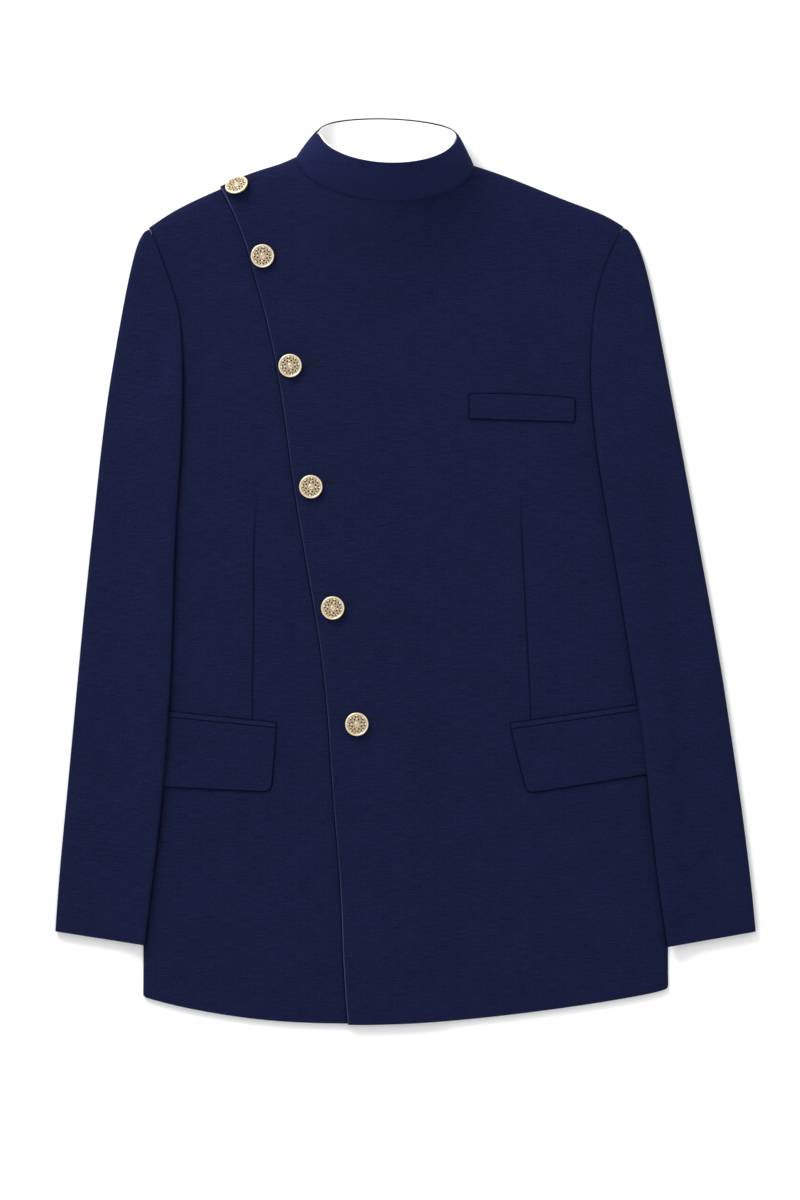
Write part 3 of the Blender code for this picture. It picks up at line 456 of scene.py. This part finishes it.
navy = clothMaterial("navyPinhead", clothLook)
navyPlainPaintedLighter = clothMaterial("navyCollarPaintedLighter", collarClothPaintedLighter, points=0.6)
navyBias = clothMaterial("navyBias", jetCloth, points=1.1, turn=math.radians(24))
white = liningMaterial("whiteLining", liningLook)
gold = goldMaterial("paleGold", goldLook)
holeShade = holeShadeMaterial("paintedHoleShade", holeShadeLook)
thread = threadMaterial("navyThread", threadLook)
print("materials made")


# body, sleeves and pockets

# lines of the photograph that the pieces follow, in millimetres
dartLines = {
    "front_right": ((-136.9, 66.0), (-138.6, 42.0), (-139.7, 17.9), (-139.7, -48.3),
                    (-140.9, -114.5), (-140.9, -136.6)),
    "front_left": ((106.3, 68.5), (106.8, 38.8), (108.4, 4.8), (110.2, -29.3),
                   (112.2, -70.1), (114.1, -104.1), (115.4, -136.6)),
}

# parts of the outlines, in plan
zones = {
    "openingRight": -52.5 * mm, "openingHigh": 353.0 * mm,
    "neckLow": 325 * mm, "neckLeft": -103 * mm, "neckRight": 65 * mm,
    "backNeckLow": 350 * mm, "backNeckLeft": -112 * mm, "backNeckRight": 74 * mm,
}

# painted shade lines and the painted highlight: how wide and how strong
lineLook = {
    "dart": (1.1 * mm, 0.85), "sleeve": (1.3 * mm, 0.8), "pocket": (1.1 * mm, 0.85),
    "own": (0.8 * mm, 0.7), "neck": (0.8 * mm, 0.35), "lap": (1.7 * mm, 0.9),
    "lit": (0.75 * mm, 0.8),
}

# finest and coarsest edges, and how fast they grow away from a line
splitLook = {
    "dart": (0.6 * mm, 16 * mm, 0.8), "lines": (1.1 * mm, 16 * mm, 0.8),
    "ownLine": (0.8 * mm, 12 * mm, 0.8), "lined": (7 * mm, 16 * mm, 0.5),
}

panelLook = {
    "dartDeep": 0.35 * mm, "dartTrough": 2.2 * mm, "dartFade": 40 * mm, "dartLeast": 0.4,
    "litLow": -275 * mm, "litLowFade": 60 * mm, "litLowWider": 0.4,
    "litHigh": 325 * mm, "litHighFade": 20 * mm, "litHighWider": 0.8, "litLeast": 0.6,
    "armholeLow": 140 * mm, "armholeEdge": 0.5 * mm, "armholeGap": 1.5 * mm,
    "armholeTuck": 0.3 * mm,
    "upper": 0.1, "side": -0.3, "inner": 0.5, "facing": 32 * mm, "frontTop": 4.3 * mm,
}


def inMetres(rows):
    return [tuple(value * mm for value in row) for row in rows]


def onOpening(point):
    return point.x < zones["openingRight"] and point.y < zones["openingHigh"]


def onNeck(point):
    return point.y > zones["neckLow"] and zones["neckLeft"] < point.x < zones["neckRight"]


def offNeck(point):
    return (point.y < zones["backNeckLow"]
            or not zones["backNeckLeft"] < point.x < zones["backNeckRight"])


openingPoints = outlinePoints("front_left", onOpening)
neckPoints = outlinePoints("front_left", onNeck)
pocketNodes = {"front_left": ("chest_welt", "hip_jet_left", "hip_flap_left"),
               "front_right": ("hip_jet_right", "hip_flap_right")}
sleeveRows = {"front_right": sideLine("sleeve_top_right", 1, -342 * mm, 312 * mm),
              "front_left": sideLine("sleeve_top_left", -1, -343 * mm, 313 * mm)}


def band(distance, wide, strength):
    # full at the line, gone at its width
    return strength * (1.0 - ease((distance - 0.35 * wide) / (0.65 * wide)))


def lineAt(kind, tree, point):
    return band(away(tree, point), *lineLook[kind])


# two painted layers: shade along joins, darts and edges, and a highlight along the opening's edge
def paintLayers(shape):
    return shape.verts.layers.float.new("seam"), shape.verts.layers.float.new("lit")


def frontTrees(node):
    dart = dotted(inMetres(dartLines[node]))
    sleeve = dotted(sleeveRows[node])
    pockets = []
    for name in pocketNodes[node]:
        pockets += outlinePoints(name)
    neck = neckPoints if node == "front_left" else []
    return {"dart": treeOf(dart), "sleeve": treeOf(sleeve), "pocket": treeOf(pockets),
            "lap": treeOf(openingPoints), "neck": treeOf(neckPoints),
            "all": treeOf(dart + sleeve + pockets + openingPoints + neck),
            "own": treeOf(outlinePoints(node))}


def closeArmhole(vert, trees, sleeveSide):
    # the armhole edge closes up to the sleeve
    look = panelLook
    if vert.co.y > look["armholeLow"] and away(trees["own"], vert.co) < look["armholeEdge"]:
        spot, _, gap = trees["sleeve"].find(flatPoint(vert.co))
        toSleeve = spot - flatPoint(vert.co)
        if gap < look["armholeGap"] and toSleeve.x * sleeveSide > 0:
            vert.co += toSleeve + toSleeve.normalized() * look["armholeTuck"]


def litAt(tree, point):
    # painted highlight along the opening's folded edge, lighter and wider towards the hem and the
    # shoulder
    look = panelLook
    wide, strength = lineLook["lit"]
    low = ease((look["litLow"] - point.y) / look["litLowFade"])
    high = ease((point.y - look["litHigh"]) / look["litHighFade"])
    wide *= 1 + look["litLowWider"] * low + look["litHighWider"] * high
    least = look["litLeast"]
    return band(away(tree, point), wide, strength * (least + (1 - least) * max(low, high)))


def makeFront(node, piece):
    look = panelLook
    isLeft = node == "front_left"
    trees = frontTrees(node)
    shape = softened(nodeShape(node), 1)
    refine(shape, trees["dart"], *splitLook["dart"])
    refine(shape, trees["all"], *splitLook["lines"])
    dropFolds(shape)
    seam, lit = paintLayers(shape)
    dartTop = dartLines[node][0][1] * mm
    dartWide, dartStrength = lineLook["dart"]
    for vert in shape.verts:
        closeArmhole(vert, trees, 1 if isLeft else -1)
        if vert.normal.z < look["upper"]:
            continue
        point = vert.co
        toDart = away(trees["dart"], point)
        part = ease((dartTop - point.y) / look["dartFade"])
        part = part * (1 - look["dartLeast"]) + look["dartLeast"]
        # painted shade in the dart's trough, beside the sleeve's edge, around the pockets, at the
        # collar's foot, and on the under front beside the overlap's edge
        vert[seam] = max(band(toDart, dartWide, dartStrength * part),
                         lineAt("sleeve", trees["sleeve"], point),
                         lineAt("pocket", trees["pocket"], point),
                         lineAt("neck", trees["neck"], point) if isLeft
                         else lineAt("lap", trees["lap"], point))
        # painted highlight along the overlap's folded edge
        if isLeft:
            vert[lit] = litAt(trees["lap"], point)
        trough = ease(1 - toDart / look["dartTrough"])
        vert.co.z -= look["dartDeep"] * trough * part
    shape.normal_update()
    for face in shape.faces:
        inner = face.normal.z < -look["inner"]
        far = away(trees["own"], face.calc_center_median()) > look["facing"]
        face.material_index = 1 if inner and far else 0
    layUv(shape, look["frontTop"])
    made = dress(piece, shape, [node], [navy, white])
    print(piece, len(made.data.polygons), "faces")


makeFront("front_right", "right_front")
makeFront("front_left", "left_front")


def makePanel(node, piece, levels=2, top=2.0 * mm, turn=0.0, lined=False,
              material=navy, ownLine=False):
    look = panelLook
    shape = softened(nodeShape(node), levels, quads=not lined)
    own = treeOf(outlinePoints(node, offNeck if lined else None))
    if ownLine:
        refine(shape, own, *splitLook["ownLine"])
    if lined:
        refine(shape, own, *splitLook["lined"])
    seam, _ = paintLayers(shape)
    for vert in shape.verts:
        # painted shade along the piece's own outline, where it stands up from the front
        if ownLine and vert.normal.z > look["side"]:
            vert[seam] = lineAt("own", own, vert.co)
    shape.normal_update()
    if lined:
        for face in shape.faces:
            inner = face.normal.z > look["inner"]
            far = away(own, face.calc_center_median()) > look["facing"]
            face.material_index = 1 if inner and far else 0
    layUv(shape, top, turn)
    made = dress(piece, shape, [node], [material, white] if lined else [material])
    print(piece, len(made.data.polygons), "faces")
    return made


# columns: node, piece, flat width, flat length, flat area
backs = (("back_right", "right_back", 0.241, 0.791, 0.1684),
         ("back_left", "left_back", 0.256, 0.783, 0.1702))
for node, piece, *cut in backs:
    makePanel(node, piece, levels=1, lined=True)

# columns: node, piece, what it rests on, turn of the weave, flat width, length and area
sleeves = (
    ("sleeve_under_right", "right_under_sleeve", "floor", 0.06, 0.109, 0.649, 0.0429),
    ("sleeve_under_left", "left_under_sleeve", "floor", -0.14, 0.143, 0.651, 0.0435),
    ("sleeve_top_right", "right_top_sleeve", "right_under_sleeve", 0.06, 0.118, 0.659, 0.0578),
    ("sleeve_top_left", "left_top_sleeve", "left_under_sleeve", -0.14, 0.152, 0.662, 0.0584))
sleeveTop = 11.5 * mm
for node, piece, under, turn, *cut in sleeves:
    makePanel(node, piece, top=sleeveTop, turn=turn)

# columns: side, what it rests on, turn of the weave, flat width, length and area of the flap
pockets = (("right", "right_front", 0.10, 0.112, 0.068, 0.00704),
           ("left", "left_front", -0.14, 0.132, 0.068, 0.00773))
pocketTop = 6.1 * mm
makePanel("chest_welt", "chest_pocket_welt",
          top=pocketTop, turn=0.04, ownLine=True)
for side, under, turn, *cut in pockets:
    jet = makePanel("hip_jet_" + side, side + "_pocket_jet",
                    top=pocketTop, turn=turn, material=navyBias, ownLine=True)
    makePanel("hip_flap_" + side, side + "_pocket_flap",
              top=pocketTop, turn=turn, ownLine=True)


# collar

# in millimetres, and in pairs the values at the base and at the rim
collarLook = {
    "middleX": (-18.9, -16.0), "middleY": (377.3, 403.5), "half": (81.9, 65.5),
    "front": (37.3, 29.3), "back": (6.5, 13.6), "baseLow": 4.0, "baseHigh": 28.0, "high": 62.0,
    "girth": 76.0, "tall": 46.0, "steps": 4, "seamHigh": 378.0,
}


def collarPlace(point):
    # the turn round the neck and the share of the way up the band, closer with every step
    look = collarLook
    x, y, z = (value / mm for value in point)
    part = 0.5
    for _ in range(look["steps"]):
        midX, midY, half = (look[key][0] + (look[key][1] - look[key][0]) * part
                            for key in ("middleX", "middleY", "half"))
        down = midY - y
        depth = look["front"] if down > 0 else look["back"]
        reach = depth[0] + (depth[1] - depth[0]) * part
        turn = math.atan2(down / max(reach, 1.0), (x - midX) / half)
        cosine, sine = math.cos(turn), math.sin(turn)
        base = Vector((look["middleX"][0] + look["half"][0] * cosine,
                       look["middleY"][0] - depth[0] * sine,
                       look["baseLow"] + look["baseHigh"] * max(sine, 0.0)))
        rim = Vector((look["middleX"][1] + look["half"][1] * cosine,
                      look["middleY"][1] - depth[1] * sine,
                      0.5 * look["high"] * (1 + sine)))
        up = rim - base
        part = min(max((Vector((x, y, z)) - base).dot(up) / up.length_squared, 0.0), 1.0)
    return turn * look["girth"] * mm, part * look["tall"] * mm


def collarUv(shape):
    # along the neck one way and up the band the other
    weave = shape.loops.layers.uv.new("weave")
    places = {vert.index: collarPlace(vert.co) for vert in shape.verts}
    wrap = 2 * math.pi * collarLook["girth"] * mm
    for face in shape.faces:
        first = places[face.loops[0].vert.index][0]
        for loop in face.loops:
            u, v = places[loop.vert.index]
            if u - first > wrap / 2:
                u -= wrap
            elif first - u > wrap / 2:
                u += wrap
            loop[weave].uv = (u, v)


def makeCollar(node, piece, material):
    shape = softened(nodeShape(node), 3)
    seam, _ = paintLayers(shape)
    shape.normal_update()
    shape.verts.index_update()
    # painted shade along the collar's foot, where it meets the fronts
    own = treeOf([point for point in outlinePoints(node)
                  if point.y < collarLook["seamHigh"] * mm])
    for vert in shape.verts:
        vert[seam] = lineAt("neck", own, vert.co)
    collarUv(shape)
    made = dress(piece, shape, [node], [material])
    print(piece, len(made.data.polygons), "faces")


makeCollar("collar_band", "stand_collar",
           navyPlainPaintedLighter)
makeCollar("collar_lining", "collar_inner_band",
           white)


# buttons

# in millimetres; the rim stands "proud" above the node's top
buttonLook = {
    "radius": 10.8, "thick": 2.6, "proud": 0.1, "shankRadius": 2.6, "rimInner": 9.0,
    "floor": 1.95, "steps": 72, "motifs": 8, "lozenge": (1.55, 1.60, 0.16, 0.6),
    "centreRing": (2.05, 0.16, 40),
    "tilt": math.radians(46), "turn": math.radians(22), "spins": (0, -4, 10, -5, -12, 1),
}

# columns: distance from the middle, height over the sunk face
rings = {"motif": (7.75, 0.02), "dot": (4.65, 0.06), "pearl": (4.55, 0.06),
         "faint": (2.75, 0.08), "wire": (0.0, 0.10), "middle": (0.0, 0.08)}

# columns: radius, height, relief, material, segments; material 1 is the very dark painted shade of
# the small holes
beads = {
    "boss": (0.80, 0.50, 1.0, 0, 12), "hollow": (0.78, 0.36, 0.0, 1, 12),
    "speck": (0.27, 0.26, 0.0, 1, 8), "tip": (0.26, 0.22, 0.0, 1, 8),
    "dot": (0.86, 0.36, 0.0, 1, 12), "faint": (0.40, 0.22, 0.0, 1, 8),
    "pearl": (0.66, 0.40, 1.0, 0, 12), "middle": (1.85, 0.24, 0.35, 0, 28),
}

# columns: bead, then x, y and height of its middle on the motif
motifRows = (("boss", 0.15, 0.0, 0.10), ("hollow", -0.62, -1.02, 0.06),
             ("speck", -1.42, -0.42, 0.05), ("hollow", -0.62, 1.02, 0.06),
             ("speck", -1.42, 0.42, 0.05), ("tip", 1.12, 0.0, 0.10))


def newPart():
    shape = bmesh.new()
    shape.verts.layers.float.new("relief")
    return shape


def setRelief(shape, value, material=0):
    relief = shape.verts.layers.float["relief"]
    for vert in shape.verts:
        vert[relief] = value
    for face in shape.faces:
        face.material_index = material


def stamp(target, source, place):
    # a moved copy of a small part, added to a bigger one
    mesh = bpy.data.meshes.new("stamp")
    moved = source.copy()
    moved.transform(place)
    moved.to_mesh(mesh)
    moved.free()
    target.from_mesh(mesh)
    bpy.data.meshes.remove(mesh)


def standUp(shape):
    bmesh.ops.rotate(shape, verts=shape.verts, cent=(0, 0, 0),
                     matrix=Matrix.Rotation(math.pi / 2, 3, "X"))


def spun(shape, geometry, steps):
    # a profile turned once round the Z axis
    bmesh.ops.spin(shape, geom=geometry, axis=(0, 0, 1), cent=(0, 0, 0),
                   angle=2 * math.pi, steps=steps, use_merge=True)
    bmesh.ops.remove_doubles(shape, verts=shape.verts, dist=0.001)
    bmesh.ops.recalc_face_normals(shape, faces=shape.faces)


def wireRing(radius, wire, steps, sides=8):
    shape = newPart()
    bmesh.ops.create_circle(shape, segments=sides, radius=wire)
    standUp(shape)
    bmesh.ops.translate(shape, verts=shape.verts, vec=(radius, 0, 0))
    spun(shape, shape.verts[:] + shape.edges[:], steps)
    setRelief(shape, 1.0)
    return shape


def bead(radius, high, relief, material, segments):
    shape = newPart()
    bmesh.ops.create_uvsphere(shape, u_segments=segments, v_segments=8, radius=radius)
    bmesh.ops.scale(shape, vec=(1, 1, high / radius), verts=shape.verts)
    setRelief(shape, relief, material)
    return shape


def lozenge(wide, tall, high, relief, topPart=0.82):
    shape = newPart()
    bmesh.ops.create_cone(shape, cap_ends=True, segments=4, radius1=1.0, radius2=topPart,
                          depth=high)
    bmesh.ops.scale(shape, vec=(tall, wide, 1), verts=shape.verts)
    setRelief(shape, relief)
    return shape


def makeMotif():
    # a bead on a lozenge, with dark dots at its inner sides painted as the shade of small holes
    shape = newPart()
    stamp(shape, lozenge(*buttonLook["lozenge"]), Matrix.Translation((0, 0, 0.06)))
    for kind, *place in motifRows:
        stamp(shape, bead(*beads[kind]), Matrix.Translation(place))
    return shape


def ringPlace(kind):
    out, lift = rings[kind]
    return Matrix.Translation((out, 0, lift))


def makeRosette():
    # everything that stands on the sunk face, with the face at height 0
    look = buttonLook
    face = newPart()
    motif = makeMotif()
    kinds = ("dot", "faint", "pearl", "middle")
    dot, faint, pearl, middle = (bead(*beads[kind]) for kind in kinds)
    for index in range(look["motifs"]):
        turned = Matrix.Rotation(2 * math.pi * index / look["motifs"], 4, "Z")
        half = Matrix.Rotation(2 * math.pi * (index + 0.5) / look["motifs"], 4, "Z")
        stamp(face, motif, turned @ ringPlace("motif"))
        stamp(face, dot, half @ ringPlace("dot"))
        stamp(face, faint, turned @ ringPlace("faint"))
        if index % 2 == 0:
            stamp(face, pearl, turned @ ringPlace("pearl"))
    stamp(face, wireRing(*look["centreRing"]), ringPlace("wire"))
    stamp(face, middle, ringPlace("middle"))
    return face


def makeBody(shank):
    look = buttonLook
    shape = newPart()
    relief = shape.verts.layers.float["relief"]
    face = shank + look["floor"]
    top = shank + look["thick"]
    # columns: radius, height, relief; lower relief is painted darker as shade
    rows = ((0.0, 0.0, 0.3), (look["shankRadius"], 0.0, 0.3), (look["shankRadius"], shank, 0.3),
            (9.5, shank + 0.25, 0.6), (10.45, shank + 0.75, 0.9),
            (look["radius"], shank + 1.4, 1.0), (10.72, shank + 2.0, 1.0),
            (10.4, top - 0.16, 1.0), (10.0, top, 1.0),
            (9.6, top - 0.04, 1.0), (9.3, top - 0.22, 0.9), (look["rimInner"], face, 0.25),
            (8.4, face + 0.02, 0.15), (4.0, face + 0.10, 0.15), (0.0, face + 0.12, 0.3))
    points = []
    for radius, high, value in rows:
        point = shape.verts.new((radius, 0.0, high))
        point[relief] = value
        points.append(point)
    edges = [shape.edges.new(pair) for pair in zip(points, points[1:])]
    spun(shape, points + edges, look["steps"])
    for vert in shape.verts:
        reach = math.hypot(vert.co.x, vert.co.y)
        nearest = min(rows, key=lambda row: abs(row[0] - reach) + abs(row[1] - vert.co.z))
        vert[relief] = nearest[2]
    return shape


def placeOf(node, tilt, turn):
    # foot and shank of a button, read from its node
    points = [vert.co for vert in frame["nodes"][node].data.vertices]
    lean = Vector((-math.sin(turn), math.cos(turn), 0.0))
    normal = lean * math.sin(tilt) + Vector((0, 0, math.cos(tilt)))
    slope = lean * math.cos(tilt) - Vector((0, 0, math.sin(tilt)))
    side = normal.cross(slope)
    heights = [point.dot(normal) for point in points]
    middle = Vector()
    for direction in (slope, side):
        values = [point.dot(direction) for point in points]
        middle += direction * (max(values) + min(values)) / 2
    foot = middle + normal * min(heights)
    headHigh = buttonLook["thick"] - buttonLook["proud"]
    shank = (max(heights) - min(heights)) / mm - headHigh
    pose = Matrix.Translation(foot) @ Matrix.Rotation(turn, 4, "Z") @ Matrix.Rotation(-tilt, 4, "X")
    return pose, shank


rosette = makeRosette()
for number, spin in enumerate(buttonLook["spins"], 1):
    node = "button_%d" % number
    tilt, turn = (buttonLook["tilt"], buttonLook["turn"]) if number == 1 else (0.0, 0.0)
    pose, shank = placeOf(node, tilt, turn)
    shape = makeBody(shank)
    lifted = Matrix.Translation((0, 0, shank + buttonLook["floor"]))
    stamp(shape, rosette, Matrix.Rotation(math.radians(spin), 4, "Z") @ lifted)
    shape.transform(pose @ Matrix.Scale(mm, 4))
    dress("rosette_button_%d" % number, shape, [node], [gold, holeShade])
rosette.free()
print("buttons made")


# buttonholes

# columns: end beside the button and far end, as x and y in millimetres
holeRows = ((-149.6, 357.4, -136.2, 363.0), (-131.8, 290.0, -108.3, 296.5),
            (-106.1, 184.0, -79.6, 195.7), (-87.4, 79.9, -61.2, 84.2),
            (-67.3, -34.8, -44.8, -25.1), (-45.1, -136.2, -24.9, -135.1))
# the hole's number, and the place of a knot in its thread
holeKnots = {3: (-85.3, 193.5)}
# half sizes of the stitches: across the hole, along it, and high
holeLook = {
    "stitch": (0.589, 0.30, 0.30), "bar": (1.425, 0.33, 0.36), "cord": (0.34, 0.682, 0.16),
    "knot": (0.9, 0.9, 0.45), "pitch": 0.62, "aside": 0.684,
    "bars": 3, "barFrom": 0.35, "barPitch": 0.5, "stitchLift": 0.06, "barLift": 0.10,
}

frontShape = nodeShape("front_left")
frontTree = BVHTree.FromBMesh(frontShape)
frontShape.free()


def surfaceAt(x, y):
    hit = frontTree.ray_cast(Vector((x * mm, y * mm, 0.2)), Vector((0, 0, -1)))
    return hit[0] / mm, hit[1]


def laidAt(spot, lift, heading):
    # a place on the front, turned with the hole and with the slope of the cloth
    ground, normal = surfaceAt(spot.x, spot.y)
    lie = Vector((0, 0, 1)).rotation_difference(normal).to_matrix().to_4x4()
    return Matrix.Translation(ground + normal * lift) @ lie @ heading


def stitchShape(reach, wide, high):
    shape = bmesh.new()
    bmesh.ops.create_uvsphere(shape, u_segments=8, v_segments=6, radius=1.0)
    standUp(shape)
    bmesh.ops.scale(shape, vec=(wide, reach, high), verts=shape.verts)
    return shape


kinds = ("stitch", "bar", "cord", "knot")
stitch, bar, cord, knot = (stitchShape(*holeLook[kind]) for kind in kinds)
for number, (startX, startY, endX, endY) in enumerate(holeRows, 1):
    look = holeLook
    shape = bmesh.new()
    start, end = Vector((startX, startY, 0)), Vector((endX, endY, 0))
    run = end - start
    direction = run.normalized()
    aside = Vector((-direction.y, direction.x, 0))
    heading = Matrix.Rotation(math.atan2(direction.y, direction.x), 4, "Z")
    for index in range(int(run.length / look["pitch"]) + 1):
        spot = start + direction * look["pitch"] * index
        for sign in (-1, 1):
            beside = spot + aside * sign * look["aside"]
            stamp(shape, stitch, laidAt(beside, look["stitchLift"], heading))
        stamp(shape, cord, laidAt(spot, 0.0, heading))
    for index in range(look["bars"]):
        spot = end + direction * (look["barFrom"] + look["barPitch"] * index)
        stamp(shape, bar, laidAt(spot, look["barLift"], heading))
    if number in holeKnots:
        ground, normal = surfaceAt(*holeKnots[number])
        stamp(shape, knot, Matrix.Translation(ground + normal * look["barLift"]))
    shape.transform(Matrix.Scale(mm, 4))
    dress("buttonhole_stitches_%d" % number, shape, [], [thread])
print("buttonholes made")


# floor, light and camera

stageLook = {
    "floorWide": 8.0, "floorDrop": 0.15 * mm, "floorSpots": 3.0,
    "floorDark": (0.90, 0.90, 0.90, 1.0), "floorLight": (0.91, 0.91, 0.91, 1.0),
    "sky": 1.0, "skyColour": (1.0, 1.0, 1.0, 1.0),
    "keyPower": 67.0, "keySize": 1.3, "keyPlace": (-1.25, 2.05, 1.56),
    "cameraPlace": (-5.06 * mm, -26.2 * mm, 28.0), "photoHigh": 1104.0 * mm,
    "sensor": 36.0, "clipEnd": 200.0,
}

floorShape = bmesh.new()
bmesh.ops.create_grid(floorShape, x_segments=1, y_segments=1, size=stageLook["floorWide"] / 2)
bmesh.ops.translate(floorShape, verts=floorShape.verts, vec=(0, 0, -stageLook["floorDrop"]))
floorMesh = bpy.data.meshes.new("floor")
floorShape.to_mesh(floorMesh)
floorShape.free()
floorTree = Tree("paleFloor")
floorSpots = floorTree.noise(floorTree.place(), stageLook["floorSpots"])
floorColour = floorTree.blend(floorSpots, stageLook["floorDark"], stageLook["floorLight"])
floorTree.surface(floorColour, 1.0, 0.0)
floorMesh.materials.append(floorTree.material)
floor = bpy.data.objects.new("floor", floorMesh)
bpy.context.collection.objects.link(floor)

world = bpy.data.worlds.new("studio")
bpy.context.scene.world = world
world.use_nodes = True
sky = world.node_tree.nodes["Background"]
sky.inputs["Color"].default_value = stageLook["skyColour"]
sky.inputs["Strength"].default_value = stageLook["sky"]

keyLight = bpy.data.lights.new("key", "AREA")
keyLight.shape = "DISK"
keyLight.size = stageLook["keySize"]
keyLight.energy = stageLook["keyPower"]
key = bpy.data.objects.new("key", keyLight)
key.location = stageLook["keyPlace"]
key.rotation_euler = (-Vector(stageLook["keyPlace"])).to_track_quat("-Z", "Y").to_euler()
bpy.context.collection.objects.link(key)

cameraData = bpy.data.cameras.new("camera")
cameraData.sensor_width = stageLook["sensor"]
cameraData.lens = stageLook["sensor"] * stageLook["cameraPlace"][2] / stageLook["photoHigh"]
cameraData.clip_end = stageLook["clipEnd"]
camera = bpy.data.objects.new("camera", cameraData)
camera.location = stageLook["cameraPlace"]
bpy.context.collection.objects.link(camera)
bpy.context.scene.camera = camera
bpy.context.scene.view_settings.view_transform = "Standard"
print("stage set")
